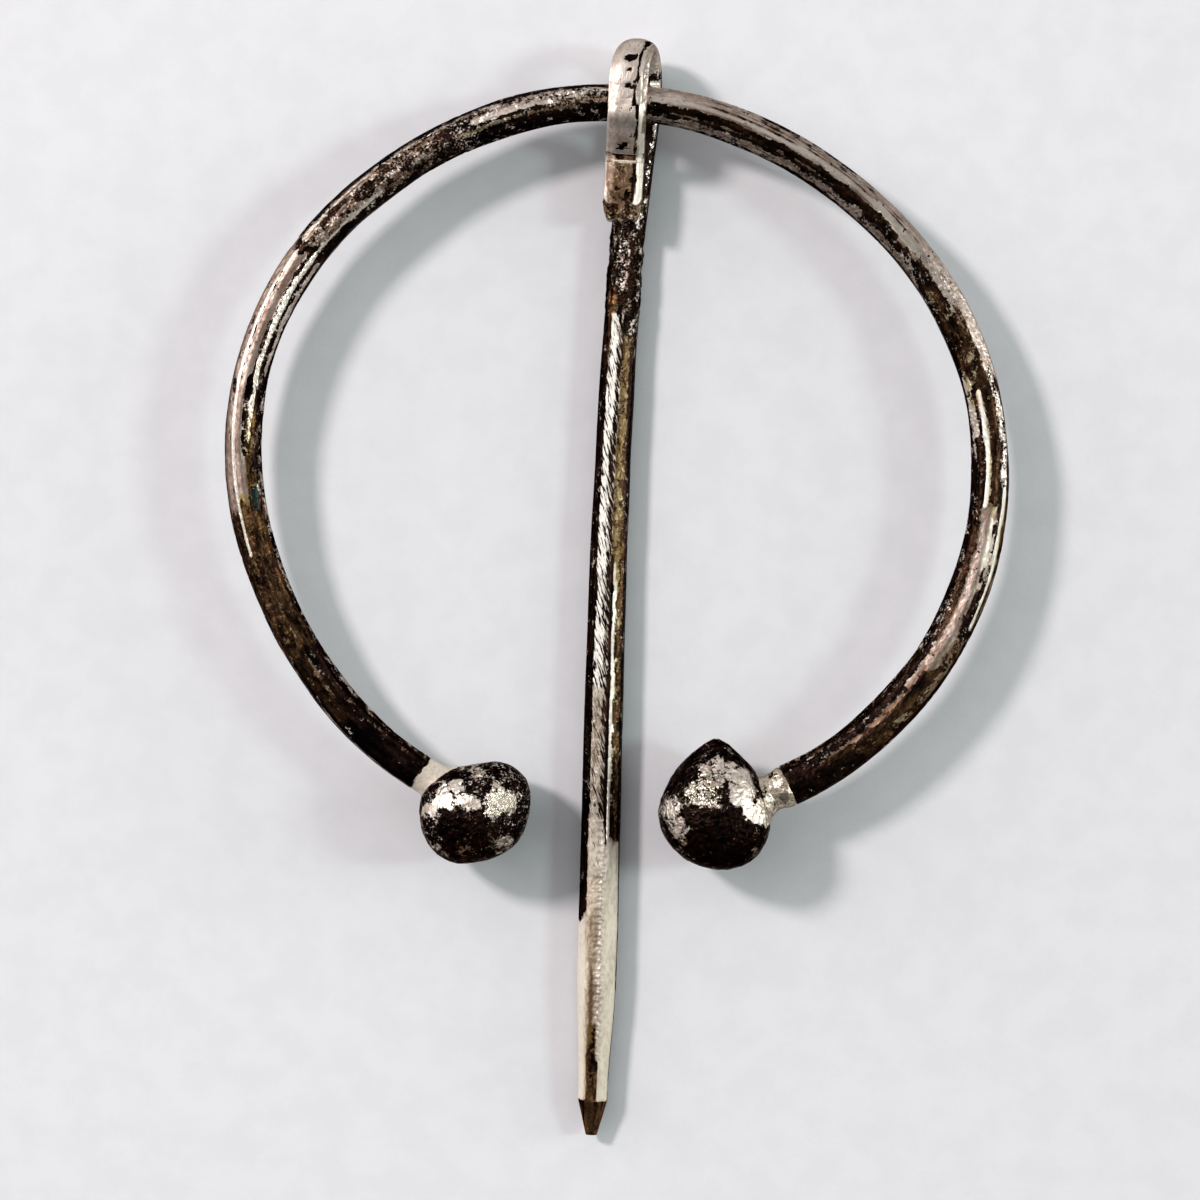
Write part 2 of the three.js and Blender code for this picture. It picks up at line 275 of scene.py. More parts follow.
def section_rings(centre, along, front, half_width, half_thickness, turn, face, rounding, strike):
    """Rings of points round the centres, and the same points in each section's own plane.

    face is the share of the width that the flat front takes. rounding pulls the corners in to an ellipse.
    """
    corner_shares, face_shares = outline_shares()
    one = np.ones_like(face)
    flat = OCTAGON_FACE * one
    x = np.stack([one, one, face, -face, -one, -one, -face, face], axis=1) @ corner_shares.T
    y = np.stack([-flat, flat, one, one, flat, -flat, -one, -one], axis=1) @ corner_shares.T
    struck = (strike @ face_shares.T) * lerp(1, 1 / np.hypot(x, y), rounding[:, None])
    c, s = np.cos(turn)[:, None], np.sin(turn)[:, None]
    across = (c * x - s * y) * struck * half_width[:, None]
    outward = (s * x + c * y) * struck * half_thickness[:, None]
    side = np.cross(front, along)
    points = centre[:, None] + across[..., None] * side[:, None] + outward[..., None] * front[:, None]
    return points, across, outward


def lofted(points):
    """Vertices and faces of a closed body through rings of points, with an even cap on each end."""
    rings, count, _ = points.shape
    grid = np.arange(rings * count).reshape(rings, count)
    turned = np.roll(grid, -1, axis=1)
    quads = stacked(grid[:-1], turned[:-1], turned[1:], grid[1:]).reshape(-1, 4)
    first, last = rings * count, rings * count + 1
    caps = [[first, b, a] for a, b in zip(grid[0], turned[0])]
    caps += [[last, a, b] for a, b in zip(grid[-1], turned[-1])]
    vertices = np.concatenate([points.reshape(-1, 3), [points[0].mean(0)], [points[-1].mean(0)]])
    return vertices, quads.tolist() + caps


def with_caps(across, out, *of_rings):
    """Coordinates of points and of whole rings for each lofted vertex, the two cap middles included."""
    spread = [np.broadcast_to(c[:, None], across.shape) for c in of_rings]
    return [np.concatenate([c.ravel(), [c[0].mean(), c[-1].mean()]]) for c in (across, out, *spread)]


def raised(vertices, faces, height):
    """The vertices moved out along the mesh's normals."""
    mesh = bpy.data.meshes.new("raising")
    mesh.from_pydata(vertices.tolist(), [], faces)
    normals = np.empty(len(vertices) * 3, np.float32)
    mesh.vertex_normals.foreach_get("vector", normals)
    bpy.data.meshes.remove(mesh)
    return vertices + normals.reshape(-1, 3) * height[:, None]


def added(name, data):
    made = bpy.data.objects.new(name, data)
    scene.collection.objects.link(made)
    return made


def piece(name, vertices, faces, relief, layers, lay, body, slot, *nodes):
    """A mesh with its relief, moved from the hoop's middle into the frame. It replaces the given nodes."""
    place = (raised(vertices, faces, relief) + hoop_middle) * MM
    place[:, 2] = np.maximum(place[:, 2], 0)
    mesh = bpy.data.meshes.new(name)
    mesh.from_pydata(place.tolist(), [], faces)
    mesh.shade_smooth()
    for layer, values in layers.items():
        mesh.attributes.new(layer, "FLOAT", "POINT").data.foreach_set("value", values.astype(np.float32))
    attribute = mesh.attributes.new("lay", "FLOAT_VECTOR", "POINT")
    attribute.data.foreach_set("vector", lay.astype(np.float32).ravel())
    mesh.materials.append(silver)
    made = added(name, mesh)
    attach(made, body)
    if nodes:
        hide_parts(*nodes)


# ---- patina and painted light

# Each layer is one number a point: bare is how much of the plate shows through the black oxide, warm runs
# from teal at -1 to gold at 1, polish from chalky at 0 to mirror-bright at 1, the layer of filing and glint
# is how far the plate is broken into slanted file strokes and whitened, and in thin lines a painted
# highlight, crust is how crumbly it is, and dull how dark. Most rows lay patina with them; some paint
# highlights, facet shading and a shadow line.
UNTOUCHED = dict(bare=0.2, warm=0.1, polish=0.5, filing_and_glint=0.0, crust=0.4, dull=0.45)
BARE_DRIFT = 0.24
DULL_DRIFT = 0.4
STREAK_BLUR = 2.5
PATCH_CORE = 0.6


def bare_layers(count, **values):
    return {layer: np.full(count, {**UNTOUCHED, **values}[layer], float) for layer in UNTOUCHED}


def vary(layers, lay, size, seed):
    """Makes bare and dull drift over lengths of the given size."""
    layers["bare"] += BARE_DRIFT * rough(lay, size, seed, octaves=2)
    layers["dull"] += DULL_DRIFT * rough(lay, size, seed + 5, octaves=2)


def ragged(values, lay, by, size, seed):
    """The values moved to and fro, for torn edges."""
    return values + by * rough(lay, size, seed)


def paint(layers, where, values):
    """Lays the named values over the layers, as far as where, from 0 to 1, says."""
    for layer, value in values.items():
        layers[layer] = lerp(layers[layer], value, where)


def from_row(bare, *others):
    """The layers that a table's row gives in hundredths."""
    return {layer: value / 100 for layer, value in dict(*others, bare=bare).items()}


def streak(position, side, start, stop, middle, half_width, fade):
    """Where a streak lies. middle is its side, or its sides at its start and its stop."""
    first, last = middle if isinstance(middle, tuple) else (middle, middle)
    share = np.clip((position - start) / (stop - start), 0, 1)
    off = np.abs((side - lerp(first, last, share) + 180) % 360 - 180)
    beside = ramp(off, half_width - STREAK_BLUR, half_width + STREAK_BLUR)
    return band(position, start, stop, fade) * (1 - beside)


def paint_streaks(layers, streaks, position, side, fade, where=1):
    for start, stop, middle, half_width, *hundredths in streaks:
        lies = where * streak(position, side, start, stop, middle, half_width, fade)
        paint(layers, lies, from_row(*hundredths))


def patch(distance, radius, blur):
    """1 in the core of a round patch, and down to 0 at blur times its radius."""
    return 1 - ramp(distance, radius * PATCH_CORE, radius * blur)


# Streaks: from, to, side or side at each, half width in degrees, and in hundredths bare and other layers.
HOOP_PATINA_AND_HIGHLIGHTS = [
    (-140, -15, (268, 262), 26, 50, dict(crust=50, dull=60)),
    (8, 146, (262, 274), 24, 52, dict(crust=50, dull=60)),
    (-153, -121, 90, 65, 4, dict(warm=0)),
    (-136, -121, 70, 25, 12, dict(warm=90)),
    (-150, -121, 150, 8, 30, dict(warm=30, dull=80)),
    (-144, -132, (14, 24), 8, 55, dict(dull=60)),
    (-151, -121, 123, 8, 27, dict(warm=20, dull=90)),
    (-123, -98, 85, 65, 12, dict(warm=130, dull=100)),
    (-122, -104, (55, 60), 16, 34, dict(warm=80, crust=40, dull=90)),
    (-112, -98, 130, 16, 25, dict(warm=220, dull=100)),
    (-106, -98, 88, 14, 30, dict(warm=180, dull=100)),
    (-132, -108, 93, 3, 50, dict(warm=50, dull=95)),
    (-98, -58, (86, 80), 19, 86, dict(polish=35, crust=10, dull=72)),
    (-100, -58, (40, 34), 18, 72, dict(warm=10, polish=35, crust=10, dull=80)),
    # Painted highlight: a thin near-white line along the outer upper bevel.
    (-106, -58, (64, 52), 3, 160, dict(warm=5, filing_and_glint=90, polish=90, crust=5, dull=-40)),
    (-97, -84, 118, 14, 30, dict(warm=180, dull=100)),
    (-99.2, -96.3, (122, 126), 11, 15, dict(warm=-60)),
    (-92, -79, (102, 98), 11, 30, dict(dull=30)),
    # Bare plate in a broken stripe along the inner upper bevel, whitened as a painted highlight in part.
    (-88, -58, (114, 118), 6, 95, dict(warm=35, filing_and_glint=80, polish=90, crust=40, dull=-40)),
    (-83, -58, (101, 100), 4, 22),
    (-78, -59, 148, 8, 80, dict(dull=50)),
    (-78, -42, 170, 12, 5),
    (-57, -42, 75, 42, 66, dict(warm=20, crust=65, dull=70)),
    (-57, -44, (47, 50), 4, 80, dict(dull=10)),
    (-57, -43, (118, 122), 4, 90, dict(dull=0)),
    (-53, -49, 66, 8, 20),
    (-47, -39, 88, 18, 26, dict(crust=80)),
    (-58.4, -57.9, 68, 42, 20, dict(warm=30)),
    (-42, -31, 85, 55, 46, dict(warm=20, crust=100, dull=80)),
    (-32, -22, 85, 55, 34, dict(crust=120, dull=40)),
    (-42, -22, 45, 7, 62, dict(dull=50)),
    (-37, -22, 140, 20, 28, dict(crust=100)),
    (-55, -4, 24, 12, 20, dict(warm=-20)),
    (-23, -4, 50, 14, 56, dict(crust=70, dull=50)),
    (-25, -4, 128, 32, 14, dict(crust=80)),
    (-25, -10, (74, 78), 11, 90, dict(polish=60, crust=20, dull=45)),
    (-28, -10, 104, 5, 62, dict(warm=80, dull=70)),
    (-12, -4, 85, 14, 50, dict(warm=35, crust=90, dull=60)),
    (0, 54, 45, 30, 82, dict(polish=40, crust=15, dull=60)),
    (0, 54, (74, 78), 13, 90, dict(polish=60, crust=10, dull=40)),
    (12, 40, (38, 40), 5, 36, dict(crust=60)),
    (8, 50, (64, 60), 2, 30, dict(dull=100)),
    (16, 46, (49, 50), 1.6, 25, dict(dull=100)),
    (2, 28, (88, 86), 1.6, 30, dict(dull=100)),
    (0, 46, (114, 105), 15, 0, dict(warm=50)),
    (0, 34, (117, 112), 3, 60, dict(warm=30, dull=85)),
    (5, 44, 88, 3, 70, dict(dull=90)),
    (0, 56, 148, 16, 58, dict(dull=65)),
    (21, 27, 18, 9, 30, dict(warm=-30)),
    (31, 40, 14, 9, 30, dict(warm=-30)),
    (52, 74, 55, 38, 76, dict(dull=55)),
    (44, 60, (100, 104), 10, 35, dict(warm=40, dull=60)),
    (58, 78, 118, 24, 30, dict(warm=100, dull=60)),
    (63, 78, (80, 84), 13, 42, dict(warm=60, dull=80)),
    (73, 95, (80, 84), 16, 8, dict(warm=80)),
    (73, 90, (48, 45), 12, 62, dict(polish=60, crust=90, dull=25)),
    (73, 86, 140, 14, 66, dict(dull=35)),
    (83, 96, 130, 16, 16, dict(warm=30, crust=90)),
    (81, 94, (96, 92), 4, 60, dict(warm=100, dull=50)),
    # Painted highlight: a near-white line just inward of the rod's top.
    (76, 93, (108, 102), 5, 200, dict(warm=5, filing_and_glint=160, crust=5, dull=-50)),
    (94, 124, (86, 92), 28, 84, dict(polish=40, crust=15, dull=68)),
    (96, 103, 78, 9, 90, dict(dull=45)),
    (97.5, 99, 66, 5, 10),
    (103.2, 104.6, 70, 5, 10),
    (107, 114, (64, 70), 9, 25, dict(warm=30, dull=90)),
    (94, 116, 126, 11, 30, dict(warm=50, dull=80)),
    (93, 113, 28, 9, 40, dict(warm=150, dull=80)),
    # Painted highlight: a near-white line along the outer upper bevel.
    (91, 113, 42, 3.5, 200, dict(warm=45, filing_and_glint=160, crust=5, dull=-30)),
    (115, 125, (45, 50), 22, 42, dict(warm=60, dull=85)),
    (121, 151, 55, 45, 6, dict(warm=30)),
    (121, 137, 60, 30, 22, dict(warm=130, dull=100)),
    (119, 131, (40, 56), 14, 48, dict(warm=60, polish=30, dull=80)),
    (120, 143, (104, 108), 6, 62, dict(warm=30, polish=40, crust=10, dull=105)),
    (118, 151, 128, 3, 8),
    (118, 151, 150, 12, 24, dict(warm=30, dull=90)),
]


# ---- hoop

def rod_y():
    """How far the rod's centre is from the hoop's middle where the pin hangs on it."""
    return HOOP_RADIUS + waves(0, HOOP_WAVES)


# The place in the frame under the hoop's middle, in millimetres.
axis_x, axis_y, _ = frame["joints"][0]["pos_m"]
hoop_middle = np.array([axis_x / MM - PIN_X, axis_y / MM - rod_y(), 0])


def hoop_centreline(share):
    angle = np.radians(lerp(HOOP_LEFT_END, HOOP_RIGHT_END, share))
    radius = HOOP_RADIUS + waves(angle, HOOP_WAVES)
    centre = stacked(radius * np.sin(angle), radius * np.cos(angle), HOOP_HEIGHT + 0 * angle)
    return centre, np.degrees(angle)


def path_length(centre):
    steps = np.linalg.norm(np.diff(centre, axis=0), axis=-1)
    return np.concatenate([[0], np.cumsum(steps)])


# The hoop's relief, in millimetres, and where its scar and its two laps lie, as streaks.
HAMMER_MARKS = 0.035
HOOP_GRAIN = 0.012
HOOP_PITS = 0.05
SCAR_DEPTH = 0.1
SCAR = (-58.8, -57.6, 60, 60, 0.5)
LAP_DEPTH = 0.06
LAPS = [(5, 44, (56, 57), 3, 2), (-130, -104, 97, 3, 2)]


def hoop_relief(lay, angle, side, bare):
    """Hammer marks, grain, pits in the oxide, a scar across the rod and laps along it."""
    height = HAMMER_MARKS * noise(lay, (1.1, 1.1, 3.2), seed=11)
    height += HOOP_GRAIN * rough(lay, (0.5, 0.5, 0.9), seed=12)
    height -= HOOP_PITS * pits(lay, 0.55, share=0.25, seed=20) * (1 - bare)
    height -= SCAR_DEPTH * streak(angle, side, *SCAR)
    for lap in LAPS:
        height -= LAP_DEPTH * streak(angle, side, *lap)
    return height


def hoop_rings():
    """The hoop's rings, each point's place across and up the rod, and each ring's run and angle."""
    share = np.linspace(0, 1, HOOP_RINGS)
    centre, angle = hoop_centreline(share)
    along = unit(np.gradient(centre, axis=0))
    front = np.tile(UP, (HOOP_RINGS, 1))
    thicker = ROD_THICKER_END * ramp(share, THICKER_FROM, THICKER_TO)
    twist = radians(ROD_TWIST) * np.sin(TWIST_TURN * share + TWIST_START)
    points, across, up = section_rings(
        centre, along, front, ROD_HALF_WIDTH + thicker, ROD_HALF_HEIGHT + thicker / 2, twist,
        np.full(HOOP_RINGS, OCTAGON_FACE), 0 * share, strikes(share, *HOOP_STRIKES))
    return points, across, up, path_length(centre), angle


def hoop_metal():
    points, *coordinates = hoop_rings()
    vertices, faces = lofted(points)
    x, z, run, angle = with_caps(*coordinates)
    lay = stacked(x, z, run)
    side = np.degrees(np.arctan2(z, x))
    layers = bare_layers(len(vertices), bare=0.3)
    vary(layers, lay, (2.5, 2.5, 8), seed=24)
    torn_angle = ragged(angle, lay, by=1.0, size=(0.5, 0.5, 2.5), seed=14)
    torn_side = ragged(side, lay, by=3.5, size=(0.8, 0.8, 2.6), seed=18)
    paint_streaks(layers, HOOP_PATINA_AND_HIGHLIGHTS, torn_angle, torn_side, fade=0.9)
    relief = hoop_relief(lay, angle, side, layers["bare"])
    piece("hoop_metal", vertices, faces, relief, layers, lay, "ring", "tarnished_silver", "hoop")


# ---- pin

def pin_route():
    """The pin's centreline seen from its side as reach, up and which stretch it is on, in even steps."""
    crown = EYE_REACH - CROWN_THICKNESS / 2 - EYE_START_REACH
    middle_up = (PIN_UP + STRAP_UP) / 2
    pull = BEND_EASE * (BEND_START_REACH - BEND_END_REACH)
    t = np.linspace(0, 1, ROUTE_STEPS)

    def line(a, b):
        return stacked(lerp(a[0], b[0], t), lerp(a[1], b[1], t))

    turn = PI * (t - 0.5)
    bend = [(BEND_START_REACH, STRAP_UP), (BEND_START_REACH - pull, STRAP_UP),
            (BEND_END_REACH + pull, STRAP_LIES_UP), (BEND_END_REACH, STRAP_LIES_UP)]
    cubic = [(1 - t) ** 3, 3 * t * (1 - t) ** 2, 3 * t ** 2 * (1 - t), t ** 3]
    stretches = [
        line((-PIN_LENGTH, PIN_UP), (CHISEL_REACH, PIN_UP)),
        line((CHISEL_REACH, PIN_UP), (EYE_START_REACH, PIN_UP)),
        stacked(EYE_START_REACH + crown * np.cos(turn),
                middle_up + (STRAP_UP - PIN_UP) / 2 * np.sin(turn)),
        line((EYE_START_REACH, STRAP_UP), bend[0]),
        sum(np.outer(weight, place) for weight, place in zip(cubic, bend)),
        line(bend[3], (STRAP_END_REACH, STRAP_LIES_UP)),
    ]
    route = np.concatenate([s[:-1] for s in stretches] + [stretches[-1][-1:]])
    stretch = np.concatenate([k + t[:-1] for k in range(len(stretches))] + [[len(stretches)]])
    length = path_length(route)
    even = np.linspace(0, length[-1], int(length[-1] / PIN_RING_SPACING))
    return [np.interp(even, length, values) for values in (route[:, 0], route[:, 1], stretch, length)]


def shaft_width(reach):
    swell = ramp(-reach, -STRAP_END_REACH, -SHAFT_SWELL_REACH)
    taper = ramp(-reach, -TAPER_REACH, -CHISEL_REACH)
    return lerp(lerp(SHAFT_WIDTH_TOP, SHAFT_WIDTH_LOW, swell), CHISEL_WIDTH, taper)


def pin_x(reach, turned):
    """Where the bowed shaft, the leaning limb and the strap beside it lie across the hoop."""
    down = np.maximum(0, -reach / PIN_LENGTH)
    bow = PIN_BOW * np.sin(PI * down ** BOW_CROWDING) ** BOW_NARROWING
    limb = LIMB_X * ramp(reach, LIMB_REACH, EYE_START_REACH)
    return PIN_X + lerp(limb - bow, STRAP_X, ramp(turned, STRAP_SHIFT_FROM, 1))


def pin_half_sizes(reach, wrapped):
    chisel = np.maximum(0, (CHISEL_REACH - reach) / (CHISEL_REACH + PIN_LENGTH))
    width = lerp(shaft_width(reach), POINT_WIDTH, chisel)
    thickness = lerp(PIN_FLATNESS * shaft_width(reach), POINT_THICKNESS, chisel)
    return lerp(width, STRAP_WIDTH, wrapped) / 2, lerp(thickness, STRAP_THICKNESS, wrapped) / 2


def pin_directions(reach, up, wrapped):
    """Directions along the pin and out of its front, which is rolled a little to one side."""
    roll = np.radians(lerp(PIN_ROLL, -STRAP_ROLL, wrapped))
    tangent = unit(np.gradient(stacked(reach, up), axis=0))
    along = stacked(0 * reach, tangent[:, 0], tangent[:, 1])
    level = stacked(0 * reach, -tangent[:, 1], tangent[:, 0])
    front = level * np.cos(roll)[:, None] - np.cross(along, level) * np.sin(roll)[:, None]
    return along, front


def tear(across, out, half_width, torn):
    """How far the tear moves each point of the strap's end on: by its lumps, and back at its sides."""
    share = across / half_width[:, None]
    place = stacked(share, out, 0 * share).reshape(-1, 3)
    lumps = TEAR_LUMP * noise(place, (0.25, 0.5, 1), seed=31)
    return torn[:, None] * (lumps.reshape(share.shape) - TEAR_ROUNDING * share ** 4)


def band_recess(reach, stretch, out, half_thickness):
    """How deep the band pinched across the strap's outer faces is at each point."""
    outer = out < -OUTER_BEYOND * half_thickness[:, None]
    recess = band(reach, BAND_REACH - BAND_HALF_WIDTH, BAND_REACH + BAND_HALF_WIDTH, BAND_EDGE)
    past_eye = stretch > EYE_STRETCH + 1
    return BAND_DEPTH * (recess * past_eye)[:, None] * outer


def pin_rings():
    """The pin's rings, each point's place across and out, and each ring's reach, run and turn to strap."""
    reach, up, stretch, run = pin_route()
    turned = np.clip(stretch - EYE_STRETCH, 0, 1)
    wrapped = ramp(turned, 0, 1)
    torn = ramp(stretch, END_STRETCH + TEAR_FROM, END_STRETCH + 1)
    crowning = ramp(reach, EYE_START_REACH, EYE_REACH - CROWN_THICKNESS / 2)
    face = lerp(lerp(OCTAGON_FACE, STRAP_FACE, wrapped), CROWN_FACE, crowning)
    half_width, half_thickness = pin_half_sizes(reach, wrapped)
    centre = stacked(pin_x(reach, turned), rod_y() + reach, up)
    along, front = pin_directions(reach, up, wrapped)
    points, across, out = section_rings(
        centre, along, front, half_width, half_thickness * (1 - TEAR_THINNING * torn), 0 * reach,
        face, crowning, strikes(run, *PIN_STRIKES))
    points = points + tear(across, out, half_width, torn)[..., None] * along[:, None]
    points = points + band_recess(reach, stretch, out, half_thickness)[..., None] * front[:, None]
    return points, across, out, reach, run, wrapped


SHAFT_PATINA_AND_PAINTED_LIGHT = [
    (-78, -20, (272, 268), 26, 50, dict(crust=30, dull=60)),
    (-90, -70, 270, 30, 80, dict(warm=30, polish=20, crust=30, dull=60)),
    (-9, 1, (38, 20), 9, 45, dict(polish=80, dull=0)),
    (0.5, 3.2, 30, 30, 60, dict(polish=60, dull=40)),
    (-68.5, -10, 136, 22, 14, dict(warm=20)),
    (-17.5, -11, 90, 60, 22, dict(warm=25, crust=120, dull=60)),
    (-15.2, -11.6, 88, 24, 45, dict(warm=10, crust=110, dull=45)),
    (-21, -15.5, (116, 120), 14, 32, dict(warm=200, crust=60, dull=100)),
    (-50, -17.8, 104, 15, 66, dict(warm=10, polish=40, crust=40, filing_and_glint=100, dull=0)),
    (-50, -17.8, 80, 9, 30, dict(warm=30, polish=40, filing_and_glint=100, dull=50)),
    (-64, -49, 102, 16, 72, dict(warm=40, polish=40, filing_and_glint=80, dull=55)),
    (-64, -49, 78, 8, 40, dict(warm=40, filing_and_glint=80, dull=70)),
    (-40, -19.5, 52, 17, 62, dict(warm=100, polish=40, crust=30, dull=85)),
    (-62, -38, 63, 5, -20, dict(warm=20)),
    # Painted highlight: a near-white line along the shaft's right upper bevel.
    (-64, -39, 54, 3.1, 300, dict(warm=35, filing_and_glint=200, crust=0, dull=-100)),
    (-64, -39, 45, 3, 50, dict(warm=120, filing_and_glint=30, crust=50, dull=80)),
    (-62, -36, 32, 9, 42, dict(warm=110, dull=80)),
    # The lower shaft's facets: the left bevel whitest, the right bevel cream and the front darker khaki,
    # partly the metal's tint and partly painted facet shading.
    (-90, -62.3, 35, 35, 100, dict(warm=20, polish=5, crust=10, dull=22)),
    (-90, -68.5, 147, 35, 100, dict(warm=10, polish=10, crust=10, dull=10)),
    (-90, -60, (98, 96), 26, 92, dict(warm=40, polish=25, crust=20, dull=34)),
    (-90, -68, (101, 97), 15, 90, dict(warm=60, polish=25, crust=20, dull=60)),
    (-90, -73, (99, 98), 5, 80, dict(warm=70, polish=40, crust=20, dull=110)),
    (-90, -77.5, (96, 92), 14, 50, dict(warm=140, polish=40, crust=15, dull=125)),
    (-90, -80, (91, 89), 22, 20, dict(warm=190, polish=40, crust=20, dull=140)),
    (-80, -61, 70, 5, 100, dict(warm=10, polish=40, dull=20)),
]
STRAP_PATINA_AND_PAINTED_LIGHT = [
    (-10, 6, 90, 70, 82, dict(polish=55, crust=10, dull=36)),
    (-3.95, 0.8, 90, 59, 78, dict(warm=10, polish=45, crust=12, dull=34)),
    (-9.9, -3.95, 90, 59, 74, dict(warm=55, polish=35, crust=50, dull=95)),
    (-3.9, 4, 160, 11, 95, dict(polish=45, crust=10, dull=45)),
    (-9, -3.9, 158, 9, 85, dict(warm=30, polish=40, crust=10, dull=75)),
    (-9, 0, 172, 5, 95, dict(polish=40, crust=10, dull=10)),
    # Painted highlights: near-white strips along the strap's right bevel.
    (-3, -0.4, (30, 20), 5, 200, dict(warm=30, filing_and_glint=130, crust=10, dull=-50)),
    (-8.4, -2.4, 18, 7.5, 160, dict(warm=35, filing_and_glint=130, crust=10, dull=-50)),
    (-0.6, 5.4, (44, 34), 4, -10),
    (-8.5, -0.6, 34, 3.5, 0, dict(warm=40)),
    (-3.98, -3.84, 90, 60, 100, dict(warm=20, polish=30, crust=0, dull=0)),
    # Painted shadow: a dark line just inside the band's upper step.
    (-4.12, -4, 90, 60, 0),
    # Painted highlight: a light line along the band's lower step.
    (-4.84, -4.72, 90, 60, 200, dict(warm=40, filing_and_glint=60, crust=0, dull=-20)),
    (-9.9, -8.4, 90, 90, 50, dict(warm=60, polish=40, crust=90, dull=85)),
]
# Corroded spots on the strap: reach, place across its half width, radius.
STRAP_SPOTS = [
    (3.1, 0.0, 0.42), (2.2, -0.05, 0.2), (1.1, 0.05, 0.25), (-3.2, -0.2, 0.35), (-4.3, -0.25, 0.25),
    (-6.2, 0.5, 0.3), (-6.9, -0.3, 0.2), (-7.6, 0.3, 0.35), (4.2, 0.55, 0.25), (-8.8, -0.5, 0.3),
]
SPOT_CRUMBLE = 0.25
SPOT_BLUR = 1.2
SPOT_DEPTH = 0.08

# The pin's relief, in millimetres, and its reaches and sides: from, to and fade.
PIN_MARKS = 0.02
PIN_GRAIN = 0.006
LUMP_HEIGHT = 0.09
LUMPS_ALONG = (-17, -11, 0.8)
FILE_DEPTH = 0.03
FILE_SLANT = radians(20)
FILED_ALONG = (-79, -18, 1)
FILED_SIDE = 84
FILED_HALF_WIDTH = (22, 40)
NICK_DEPTH = 0.14
NICK_SPACING = 0.66
NICK_SLANT = 20
NICK_DRIFT = 0.25
NICK_UNEVENNESS = 0.8
NICKS_ALONG = (-80, -58, 2)
NICKS_ROUND = (62, 82, 5)
TORN_HEIGHT = 0.12
TORN_ALONG = (-7.6, -9.2)
STRAP_PITS = 0.05


def file_strokes(lay, reach, side):
    """Depth from 0 to 1 of the slanted file strokes on the shaft's front."""
    c, s = cos(FILE_SLANT), sin(FILE_SLANT)
    slanted = stacked(lay[:, 0] * c - lay[:, 2] * s, lay[:, 1], lay[:, 0] * s + lay[:, 2] * c)
    front = 1 - ramp(np.abs(side - FILED_SIDE), *FILED_HALF_WIDTH)
    return band(reach, *FILED_ALONG) * front * np.abs(noise(slanted, (0.32, 1.5, 2.2), seed=44))


def nicks(lay, reach, side):
    """Depth of the row of small nicks, about 1 where they are deep."""
    drift = NICK_DRIFT * noise(lay, (2, 2, 1.3), seed=51)
    row = (lay[:, 2] + side / NICK_SLANT + drift) / NICK_SPACING
    uneven = 1 + NICK_UNEVENNESS * noise(lay, (1, 1, 0.9), seed=52)
    where = band(reach, *NICKS_ALONG) * band(side, *NICKS_ROUND)
    return where * np.maximum(0, np.sin(2 * PI * row)) * uneven


def pin_relief(lay, reach, side, strap):
    """Hammer marks and grain, the shaft's lumps, file strokes and nicks, the strap's torn end and pits."""
    shaft = 1 - strap
    height = PIN_MARKS * noise(lay, (1.2, 1.2, 4), seed=41)
    height += PIN_GRAIN * rough(lay, (0.4, 0.4, 0.8), seed=42)
    height += LUMP_HEIGHT * shaft * band(reach, *LUMPS_ALONG) * rough(lay, 0.7, seed=43)
    height -= FILE_DEPTH * shaft * file_strokes(lay, reach, side)
    height -= NICK_DEPTH * shaft * nicks(lay, reach, side)
    height += TORN_HEIGHT * strap * ramp(reach, *TORN_ALONG) * rough(lay, 0.6, seed=45)
    height -= STRAP_PITS * strap * pits(lay, 0.5, share=0.2, seed=50)
    return height


def paint_shaft(layers, lay, reach, side, shaft):
    torn_reach = ragged(reach, lay, by=0.5, size=(0.6, 0.6, 1.2), seed=47)
    torn_side = ragged(side, lay, by=2.5, size=(0.8, 0.8, 2), seed=48)
    paint_streaks(layers, SHAFT_PATINA_AND_PAINTED_LIGHT, torn_reach, torn_side, fade=0.8, where=shaft)
    point = ramp(CHISEL_REACH - reach, -0.1, 0.2)
    paint(layers, shaft * point, dict(bare=0.1, warm=2.5, polish=0.4, crust=0.2))


def paint_strap(layers, lay, reach, side, wrapped):
    paint(layers, ramp(wrapped, 0, 0.2), dict(bare=0.8, polish=0.5))
    wavy_reach = reach + 0.06 * noise(lay, 0.6, seed=49)
    torn_side = ragged(side, lay, by=1.6, size=(0.5, 0.5, 0.9), seed=53)
    paint_streaks(layers, STRAP_PATINA_AND_PAINTED_LIGHT, wavy_reach, torn_side, fade=0.08,
                  where=ramp(wrapped, 0.3, 0.6))


def strap_spots(lay, x, reach, upper):
    spots = np.zeros(len(lay))
    for spot_reach, spot_across, radius in STRAP_SPOTS:
        distance = np.hypot(reach - spot_reach, -x - spot_across * STRAP_WIDTH / 2)
        torn = ragged(distance, lay, by=SPOT_CRUMBLE, size=0.4, seed=46)
        spots = np.maximum(spots, patch(torn, radius, SPOT_BLUR) * upper)
    return spots


